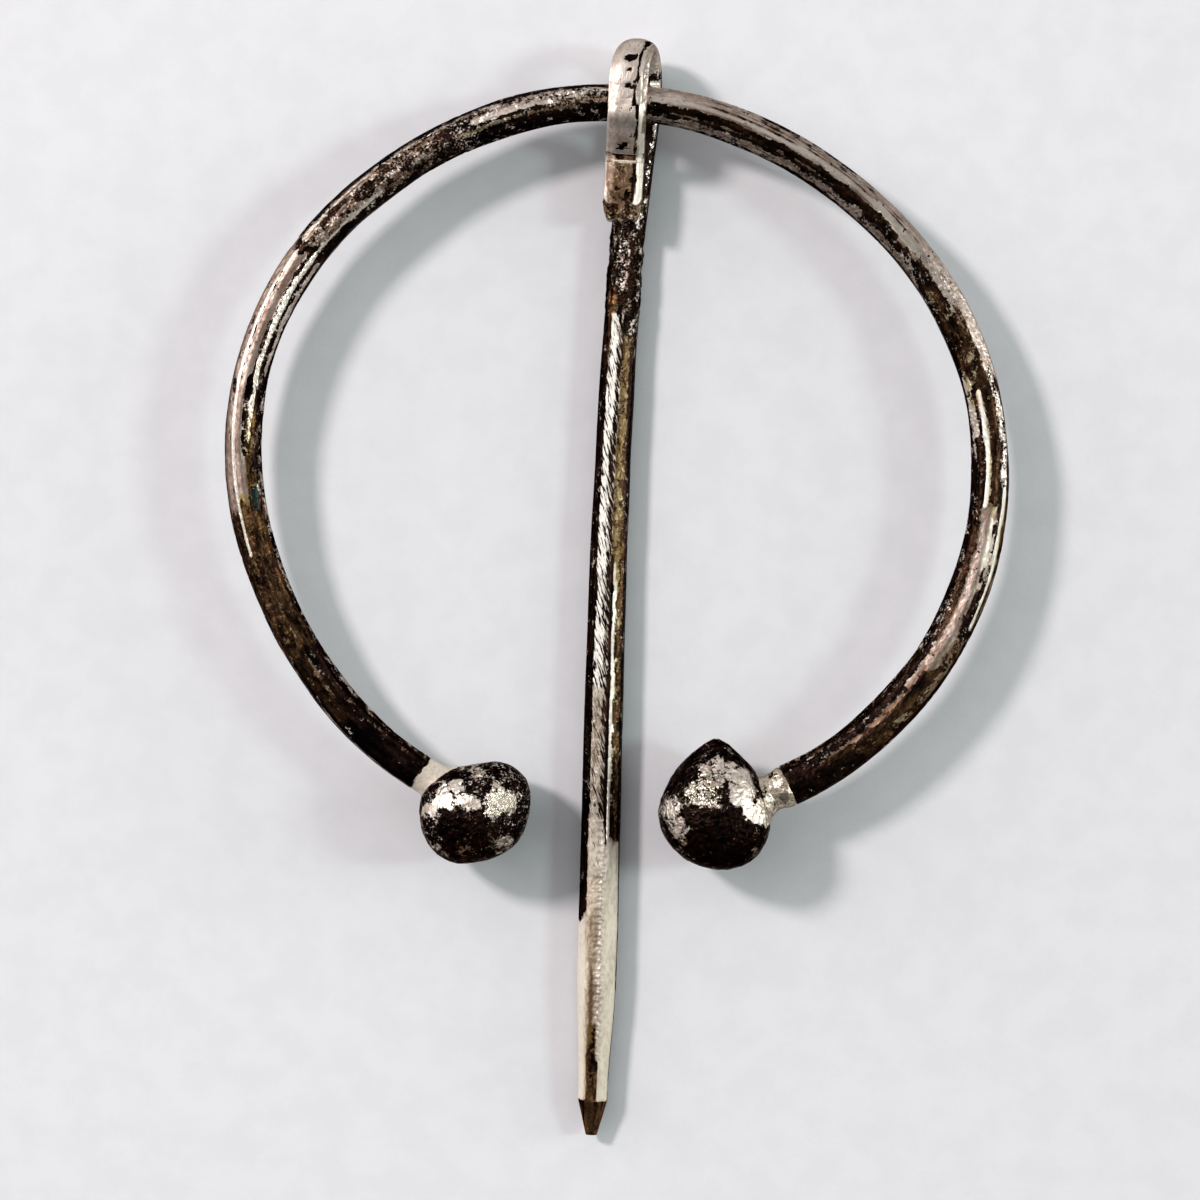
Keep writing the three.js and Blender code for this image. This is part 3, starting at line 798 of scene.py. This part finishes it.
def pin_metal():
    points, *coordinates = pin_rings()
    vertices, faces = lofted(points)
    x, z, reach, run, wrapped = with_caps(*coordinates)
    lay = stacked(x, z, run)
    side = np.degrees(np.arctan2(z, -x)) % 360
    strap_side = np.degrees(np.arctan2(-z, -x)) % 360
    layers = bare_layers(len(vertices), dull=0.4)
    vary(layers, lay, (2, 2, 7), seed=54)
    paint_shaft(layers, lay, reach, side, shaft=wrapped < 0.05)
    paint_strap(layers, lay, reach, strap_side, wrapped)
    spots = strap_spots(lay, x, reach, upper=(wrapped > 0.5) * (z < 0))
    paint(layers, spots, dict(bare=0.0))
    relief = pin_relief(lay, reach, side, wrapped) - SPOT_DEPTH * spots
    piece("pin_metal", vertices, faces, relief, layers, lay, "pin", "filed_silver", "pin")


# ---- terminals

def ball_directions():
    mesh = bpy.data.meshes.new("directions")
    ball = bmesh.new()
    bmesh.ops.create_icosphere(ball, subdivisions=BALL_SUBDIVISIONS, radius=1)
    ball.to_mesh(mesh)
    ball.free()
    directions = np.array([v.co for v in mesh.vertices])
    faces = [list(f.vertices) for f in mesh.polygons]
    bpy.data.meshes.remove(mesh)
    return unit(directions), faces


def plain_radius(reach):
    """A ball's radius square to its peak."""
    return reach(np.array([PI / 2]))


def ball_vertices(directions, centre, peak_direction, reach, outline):
    """A ball that reaches out by the angle from its peak, in its outline seen from above."""
    angle = radians(peak_direction)
    peak = np.array([cos(angle), sin(angle), 0])
    off_peak = np.arccos(np.clip(directions @ peak, -1, 1))
    place = directions * reach(off_peak)[:, None]
    flat = np.hypot(place[:, 0], place[:, 1])
    wide = lerp(1, outline(np.arctan2(place[:, 1], place[:, 0])), flat / np.linalg.norm(place, axis=1))
    height = place[:, 2] * BALL_HALF_HEIGHT / plain_radius(reach)
    return centre + stacked(place[:, 0] * wide, place[:, 1] * wide, height)


# Patches on a ball seen from above: place and radius in radii, and in hundredths bare and other layers.
LEFT_PATCHES = [
    (0, 0, 1.3, 23, dict(crust=110, dull=30)),
    (0.05, -0.5, 0.62, 12, dict(warm=20, crust=100, dull=90)),
    (-0.31, 0.52, 0.15, 100, dict(polish=60, crust=40, dull=0)),
    (-0.55, 0.22, 0.22, 110, dict(polish=85, crust=50, dull=-40)),
    (-0.79, 0.02, 0.15, 85, dict(polish=50, crust=40, dull=30)),
    (-0.08, 0.24, 0.22, 68, dict(polish=50, crust=50, dull=30)),
    (0.03, 0.76, 0.13, 62, dict(polish=40, dull=40)),
    (0.24, 0.42, 0.17, 20),
    # Bare, crumbly plate on the ball's right, whitened and brightened as a painted glint in part.
    (0.52, 0.22, 0.3, 86, dict(warm=45, polish=100, crust=150, filing_and_glint=50, dull=-110)),
    (0.36, 0.52, 0.12, 60, dict(polish=80, dull=0)),
    (0.54, -0.53, 0.17, 70, dict(polish=40, dull=50)),
    (-0.33, -0.28, 0.3, 2, dict(warm=0)),
    (-0.1, -0.66, 0.2, 26, dict(warm=50, dull=80)),
]
RIGHT_PATCHES = [
    (0, 0.3, 1.6, 12, dict(crust=90)),
    (-0.85, 0.1, 0.24, 62, dict(polish=40, dull=30)),
    (-0.66, -0.22, 0.24, 60, dict(polish=40, dull=40)),
    (-0.6, -0.46, 0.1, 50, dict(warm=80)),
    (-0.2, 0.9, 0.2, 66, dict(polish=40, dull=35)),
    (-0.05, 0.7, 0.16, 60, dict(polish=50, dull=30)),
    (0.11, 0.88, 0.18, 70, dict(polish=40, dull=30)),
    (0.42, 0.74, 0.2, 80, dict(polish=40, crust=50, dull=30)),
    (0.45, 0.42, 0.22, 85, dict(polish=50, crust=40, dull=35)),
    # Bare plate on the ball's right side, whitened and brightened as a painted highlight in part.
    (0.67, 0.13, 0.19, 130, dict(warm=40, polish=90, crust=40, filing_and_glint=30, dull=-90)),
    (0.88, 0.02, 0.16, 90, dict(warm=30, polish=60, crust=50, dull=20)),
    (-0.3, 0.46, 0.32, 68, dict(warm=35, polish=95, crust=140, dull=22)),
    (0.05, 0.62, 0.14, 55, dict(polish=50, dull=40)),
    (0, 1.4, 0.3, 14, dict(warm=0, dull=80)),
    (0.05, -0.4, 0.56, -10),
    (0.7, -0.6, 0.1, 42),
]


# The balls' patches are torn by this share of a radius. Their relief and the solder's are in millimetres.
PATCH_TEAR = 0.09
PATCH_BLUR = 1.25
BALL_LUMPS = 0.05
BALL_GRAIN = 0.04
BALL_PITS = 0.08
PLATE_EDGE_HEIGHT = 0.05
SOLDER_LUMPS = 0.04
SOLDER_GRAIN = 0.03

# The share of the way to the rod's middle that gives its end's direction.
NEAR_END = 0.002


def paint_patches(layers, lay, disc, patches, seed):
    """Lays each patch on the ball's upper side. disc is each point's place seen from above, in radii."""
    x = ragged(disc[:, 0], lay, by=PATCH_TEAR, size=1.3, seed=seed)
    y = ragged(disc[:, 1], lay, by=PATCH_TEAR, size=1.3, seed=seed + 40)
    upper = ramp(lay[:, 2], -1.5, 0)
    for patch_x, patch_y, radius, *hundredths in patches:
        distance = np.hypot(x - patch_x, y - patch_y)
        paint(layers, patch(distance, radius, PATCH_BLUR) * upper, from_row(*hundredths))


def ball_relief(lay, bare, seed):
    """Lumps, grain and pits, and the edge of the plate over the oxide."""
    height = BALL_LUMPS * rough(lay, 1.6, seed=seed + 7)
    height += BALL_GRAIN * rough(lay, 0.6, seed=seed + 13, octaves=3)
    height += PLATE_EDGE_HEIGHT * ramp(bare, 0.3, 0.7)
    height -= BALL_PITS * pits(lay, 0.6, share=0.3, seed=seed + 20)
    return height


def terminal(name, centre, peak_direction, reach, outline, patches, seed, node):
    directions, faces = ball_directions()
    vertices = ball_vertices(directions, centre, peak_direction, reach, outline)
    lay = vertices - centre
    layers = bare_layers(len(vertices), bare=0.26, crust=0.9)
    vary(layers, lay, 3, seed=seed + 30)
    paint_patches(layers, lay, lay[:, :2] / plain_radius(reach), patches, seed)
    relief = ball_relief(lay, layers["bare"], seed)
    piece(name, vertices, faces, relief, layers, lay, "ring", "worn_silver", node)


def neck_line(share, centre, stop):
    """A line from the rod's end, along the rod there and then towards the ball's centre, as far as stop."""
    ends, _ = hoop_centreline(np.array([share, lerp(share, 0.5, NEAR_END)]))
    start, out = ends[0], unit(ends[0] - ends[1])
    pull = start + out * np.linalg.norm(centre - start) / 2
    t = np.linspace(0, stop, NECK_RINGS)
    return t, np.outer((1 - t) ** 2, start) + np.outer(2 * t * (1 - t), pull) + np.outer(t ** 2, centre)


def neck_rings(t, line, radii):
    along = unit(np.gradient(line, axis=0))
    radius = np.pad(np.interp(t, *zip(*radii)), NECK_SMOOTHING // 2, mode="edge")
    radius = np.convolve(radius, np.ones(NECK_SMOOTHING) / NECK_SMOOTHING, mode="valid")
    angle = 2 * PI * np.arange(NECK_SIDES) / NECK_SIDES
    side = unit(np.cross(UP, along))
    ring = np.cos(angle)[:, None] * side[:, None] + np.sin(angle)[:, None] * UP
    return line[:, None] + radius[:, None, None] * ring


def neck(name, share, centre, radii, bared, seed, values):
    """Solder run from the rod's end into the ball. It is tarnished as far as bared."""
    t, line = neck_line(share, centre, radii[-1][0])
    vertices, faces = lofted(neck_rings(t, line, radii))
    lay = vertices - centre
    layers = bare_layers(len(vertices), **values)
    run = np.concatenate([np.repeat(t, NECK_SIDES), t[[0, -1]]])
    torn = ragged(run, lay, by=0.025, size=0.9, seed=seed + 9)
    paint(layers, 1 - ramp(torn, bared - 0.02, bared + 0.02), dict(bare=0.2, polish=0.5, dull=0.4))
    relief = SOLDER_LUMPS * rough(lay, 1.3, seed=seed)
    relief += SOLDER_GRAIN * rough(lay, 0.45, seed=seed + 5)
    piece(name, vertices, faces, relief, layers, lay, "ring", "worn_silver")


def peaked_reach(off_peak):
    """How far the right ball reaches. Its peak ends in a small flat."""
    fall = (off_peak / radians(PEAK_SPREAD)) ** PEAK_SHARPNESS
    peaked = RIGHT_RADIUS + PEAK_HEIGHT * np.exp(-fall)
    flat = (RIGHT_RADIUS + PEAK_TOP) / np.maximum(np.cos(off_peak), 0.5)
    return np.minimum(peaked, flat)


def terminals():
    terminal("ball_left", LEFT_CENTRE, 0, lambda a: LEFT_RADIUS + 0 * a,
             lambda a: 1 + waves(a, LEFT_WAVES) / LEFT_RADIUS, LEFT_PATCHES, 60, "terminal_left")
    terminal("ball_right", RIGHT_CENTRE, PEAK_DIRECTION, peaked_reach,
             lambda a: 1 + waves(a, RIGHT_WAVES) / RIGHT_RADIUS, RIGHT_PATCHES, 80, "terminal_right")
    neck("neck_left", 0, LEFT_CENTRE, LEFT_NECK, bared=0.03, seed=90,
         values=dict(bare=1.0, warm=0.1, polish=0.05, crust=0.1, dull=0.25))
    neck("neck_right", 1, RIGHT_CENTRE, RIGHT_NECK, bared=-1, seed=95,
         values=dict(bare=0.7, warm=0.35, polish=0.6, crust=0.5, dull=0.4))


# ---- materials

class Shader:
    """A node tree being wired up. Each method but finish adds a node and returns one of its outputs."""

    def __init__(self, tree):
        self.tree = tree
        tree.nodes.clear()

    def add(self, kind, inputs=(), output=0, **settings):
        made = self.tree.nodes.new("ShaderNode" + kind)
        for key, value in settings.items():
            setattr(made, key, value)
        for key, value in dict(inputs).items():
            if isinstance(value, bpy.types.NodeSocket):
                self.tree.links.new(value, made.inputs[key])
            else:
                made.inputs[key].default_value = value
        return made.outputs[output]

    def finish(self, kind, surface):
        """Wires the surface to a material's or world's output."""
        output = self.tree.nodes.new("ShaderNodeOutput" + kind)
        self.tree.links.new(surface, output.inputs["Surface"])

    def math(self, operation, *values):
        return self.add("Math", enumerate(values), operation=operation)

    def times(self, a, b):
        return self.math("MULTIPLY", a, b)

    def times_plus(self, a, b, c):
        return self.math("MULTIPLY_ADD", a, b, c)

    def attribute(self, name, output="Fac"):
        return self.add("Attribute", output=output, attribute_name=name)

    def noise(self, vector, scale, detail=4, roughness=0.55):
        return self.add("TexNoise", {"Vector": vector, "Scale": scale, "Detail": detail,
                                     "Roughness": roughness})

    def stretched(self, vector, size, slant=0.0):
        """The vector turned by slant about its second axis, then shrunk by size along each axis."""
        return self.add("Mapping", {"Vector": vector, "Scale": size, "Rotation": (0, slant, 0)},
                        vector_type="TEXTURE")

    def centred(self, value):
        return self.math("SUBTRACT", value, 0.5)

    def blend(self, share, a, b):
        return self.add("Mix", {0: share, 2: a, 3: b})

    def mix(self, share, a, b):
        """A colour between a and b."""
        a, b = (c if isinstance(c, bpy.types.NodeSocket) else (*c, 1) for c in (a, b))
        return self.add("Mix", {0: share, 6: a, 7: b}, output=2, data_type="RGBA")

    def between(self, value, low, high, to_low=0.0, to_high=1.0):
        return self.add("MapRange", {0: value, 1: low, 2: high, 3: to_low, 4: to_high},
                        interpolation_type="SMOOTHSTEP")


BLACK_OXIDE = (0.0035, 0.0022, 0.0022)
BROWN_OXIDE = (0.024, 0.010, 0.008)
GOLD_OXIDE = (0.135, 0.068, 0.03)
TEAL_OXIDE = (0.03, 0.055, 0.05)
LIGHT_PLATE = (0.80, 0.71, 0.63)
DULL_PLATE = (0.15, 0.09, 0.065)
GOLD_PLATE = (0.60, 0.50, 0.26)
DARK_GOLD_PLATE = (0.14, 0.085, 0.032)
# Near-white plate of the file strokes, and of the thin lines of painted highlight.
FILED_AND_GLINT_PLATE = (0.95, 0.92, 0.85)
CHALKY_PLATE = (0.62, 0.58, 0.48)
EDGE_TINT = (0.35, 0.3, 0.28, 1)

# How strongly crumbs, specks, the crust's further specks and file strokes break up the plate.
CRUMBS = 2.3
SPECKS = 0.6
CRUST_SPECKS = 1.3
STROKES = 3.4
# Bounds between which noise turns plate bare, oxide brown, oxide gold, and metal rougher.
PLATE_SHOWS = (0.4, 0.6)
BROWN_BLOTCHES = (0.47, 0.75)
GOLD_STREAKS = (0.35, 0.85)
FINE_BOUNDS = (0.3, 0.7)
# From clean to crusty plate, from chalky to polished plate, and from smooth to rough oxide.
UNEVENNESS = (1.2, 3.6)
PLATE_ROUGHNESS = (0.62, 0.14)
OXIDE_ROUGHNESS = (0.22, 0.45)
# Heights of the bumps, in millimetres.
PLATE_BUMP = 0.03
FINE_BUMP = 0.03
CRUST_BUMP = 0.3
STROKE_BUMP = 0.16


def plate_shows(s, bare, filing_and_glint, crust, crumbs, specks, strokes):
    """Where the plate shows through the oxide: torn patches and specks, or file strokes, from 0 to 1."""
    torn = s.times_plus(s.centred(specks), s.times_plus(crust, CRUST_SPECKS, SPECKS),
                        s.times(s.centred(crumbs), CRUMBS))
    stroked = s.times(s.centred(strokes), STROKES)
    return s.between(s.math("ADD", bare, s.blend(filing_and_glint, torn, stroked)), *PLATE_SHOWS)


def oxide_colour(s, gold, teal, blotches, streaks):
    colour = s.mix(s.between(blotches, *BROWN_BLOTCHES), BLACK_OXIDE, BROWN_OXIDE)
    colour = s.mix(s.times(gold, s.between(streaks, *GOLD_STREAKS)), colour, GOLD_OXIDE)
    return s.mix(teal, colour, TEAL_OXIDE)


def plate_colour(s, dull, crust, gold, teal, filing_and_glint, chalky, mottle):
    unevenness = s.times(s.centred(mottle), s.blend(crust, *UNEVENNESS))
    shade = s.between(s.math("ADD", dull, unevenness), 0.0, 1.0)
    colour = s.mix(s.times(filing_and_glint, 0.8), LIGHT_PLATE, FILED_AND_GLINT_PLATE)
    colour = s.mix(s.times(chalky, 0.8), colour, CHALKY_PLATE)
    colour = s.mix(s.times(gold, 0.85), s.mix(shade, colour, DULL_PLATE),
                   s.mix(shade, GOLD_PLATE, DARK_GOLD_PLATE))
    return s.mix(s.times(teal, 0.5), colour, TEAL_OXIDE)


def roughness(s, shows, polish, fine):
    plate = s.math("ADD", s.between(polish, 0.0, 1.0, *PLATE_ROUGHNESS),
                   s.between(fine, *FINE_BOUNDS, to_low=-0.06, to_high=0.14))
    return s.blend(shows, s.between(fine, *FINE_BOUNDS, *OXIDE_ROUGHNESS), plate)


def bumps(s, shows, fine, crust, lumps, filing_and_glint, strokes):
    height = s.times_plus(shows, PLATE_BUMP, s.times(fine, FINE_BUMP))
    height = s.times_plus(s.times(lumps, crust), CRUST_BUMP, height)
    height = s.times_plus(s.times(strokes, filing_and_glint), STROKE_BUMP, height)
    return s.add("Bump", {"Height": height, "Strength": 1.0, "Distance": MM})


def oxidised_silver():
    """Worn silver plate under broken black oxide, driven by the layers of patina and of painted highlights
    and shade.
    """
    material = bpy.data.materials.new("oxidised_silver")
    material.use_nodes = True
    s = Shader(material.node_tree)
    lay = s.attribute("lay", "Vector")
    bare, warm, polish, filing_and_glint, crust, dull = (s.attribute(layer) for layer in UNTOUCHED)
    crumbs = s.noise(s.stretched(lay, (1, 1, 1.5)), scale=1.5, detail=7, roughness=0.68)
    specks = s.noise(lay, scale=5, detail=3, roughness=0.6)
    lumps = s.noise(lay, scale=2.4, detail=2, roughness=0.5)
    strokes = s.noise(s.stretched(lay, (0.34, 1, 2.6), FILE_SLANT), scale=2.2, detail=3, roughness=0.6)
    shows = plate_shows(s, bare, filing_and_glint, crust, crumbs, specks, strokes)
    blotches = s.noise(s.stretched(lay, (1, 1, 2.5)), scale=1.1)
    streaks = s.noise(s.stretched(lay, (1, 1, 4)), scale=2.2, roughness=0.65)
    fine = s.noise(s.stretched(lay, (1, 1, 2.2)), scale=4, detail=5, roughness=0.7)
    mottle = s.times_plus(fine, 0.6, s.times(blotches, 0.4))
    gold = s.math("MAXIMUM", warm, 0)
    teal = s.math("MAXIMUM", s.times(warm, -1), 0)
    chalky = s.between(polish, 0.3, 0.0)
    lustreless = s.math("MAXIMUM", s.times(filing_and_glint, 0.5), s.times(chalky, 0.7))
    s.finish("Material", s.add("BsdfPrincipled", {
        "Base Color": s.mix(shows, oxide_colour(s, gold, teal, blotches, streaks),
                            plate_colour(s, dull, crust, gold, teal, filing_and_glint, chalky, mottle)),
        "Metallic": s.math("SUBTRACT", 1.0, s.times(shows, lustreless)),
        "Roughness": roughness(s, shows, polish, fine),
        "Specular Tint": EDGE_TINT,
        "Normal": bumps(s, shows, fine, crust, lumps, filing_and_glint, strokes),
    }))
    return material


# ---- stage

TABLE_HALF = 2.0
TABLE_HEIGHT = -0.02 * MM
TABLE_COLOUR = (0.695, 0.70, 0.71)
TABLE_MOTTLE = 0.96
SKY_COLOUR = (0.98, 0.98, 1.0, 1)
SKY_BASE = 0.1
# Azimuth, elevation, spread and strength of each. Azimuths are anticlockwise from +X.
SKY_PATCHES = [(148, 30, 70, 0.85), (5, 25, 60, 0.5), (75, 20, 50, 0.35), (12, 12, 18, 8), (160, 12, 20, 4)]
LAMP_DISTANCE = 1.0
# Azimuth, elevation, width, power and colour of each.
KEY_LAMP = (150, 42, 0.15, 7.1, (1.0, 0.915, 0.93))
SIDE_LAMP = (5, 36, 0.18, 2.5, (0.80, 0.97, 0.92))


def table_paint():
    material = bpy.data.materials.new("table_paint")
    material.use_nodes = True
    s = Shader(material.node_tree)
    place = s.add("TexCoord", output="Object")
    mottle = s.between(s.noise(place, scale=300), 0.35, 0.65)
    grain = s.noise(place, scale=2500, detail=3)
    s.finish("Material", s.add("BsdfPrincipled", {
        "Base Color": s.mix(mottle, tuple(TABLE_MOTTLE * c for c in TABLE_COLOUR), TABLE_COLOUR),
        "Roughness": 0.75,
        "Normal": s.add("Bump", {"Height": grain, "Strength": 0.25, "Distance": 0.05 * MM}),
    }))
    return material


def table_top():
    mesh = bpy.data.meshes.new("table_top")
    corners = [(-1, -1), (1, -1), (1, 1), (-1, 1)]
    mesh.from_pydata([(TABLE_HALF * x, TABLE_HALF * y, TABLE_HEIGHT) for x, y in corners], [],
                     [(0, 1, 2, 3)])
    mesh.materials.append(table_paint())
    added("table_top", mesh)


def toward(azimuth, elevation):
    a, e = radians(azimuth), radians(elevation)
    return cos(a) * cos(e), sin(a) * cos(e), sin(e)


def lamp(name, azimuth, elevation, width, power, colour):
    """A soft round lamp that faces the brooch."""
    light = bpy.data.lights.new(name, "AREA")
    light.shape = "DISK"
    light.size = width
    light.energy = power
    light.color = colour
    made = added(name, light)
    made.location = np.array(toward(azimuth, elevation)) * LAMP_DISTANCE
    made.rotation_euler = (radians(90 - elevation), 0, radians(azimuth + 90))


def glow(s, direction, azimuth, elevation, spread, strength):
    """Light from a wide soft patch of the room's sky."""
    near = s.add("VectorMath", {0: direction, 1: toward(azimuth, elevation)}, output="Value",
                 operation="DOT_PRODUCT")
    return s.between(near, cos(radians(spread)), 1.0, 0.0, strength)


def studio():
    world = bpy.data.worlds.new("studio")
    scene.world = world
    world.use_nodes = True
    s = Shader(world.node_tree)
    direction = s.add("TexCoord", output="Generated")
    strength = SKY_BASE
    for sky_patch in SKY_PATCHES:
        strength = s.math("ADD", strength, glow(s, direction, *sky_patch))
    s.finish("World", s.add("Background", {"Color": SKY_COLOUR, "Strength": strength}))
    lamp("key_lamp", *KEY_LAMP)
    lamp("side_lamp", *SIDE_LAMP)


def camera():
    data = bpy.data.cameras.new("camera")
    data.lens = CAMERA_LENS
    made = added("camera", data)
    place = hoop_middle + np.array([CAMERA_X, CAMERA_Y, HOOP_HEIGHT + CAMERA_ABOVE_ROD])
    made.location = place * MM
    made.rotation_euler = (0, 0, radians(CAMERA_TURN))
    data.clip_start = CAMERA_NEAR
    data.clip_end = CAMERA_FAR
    scene.camera = made


scene.view_settings.view_transform = "Standard"
camera()
studio()
table_top()
silver = oxidised_silver()
hoop_metal()
terminals()
pin_metal()
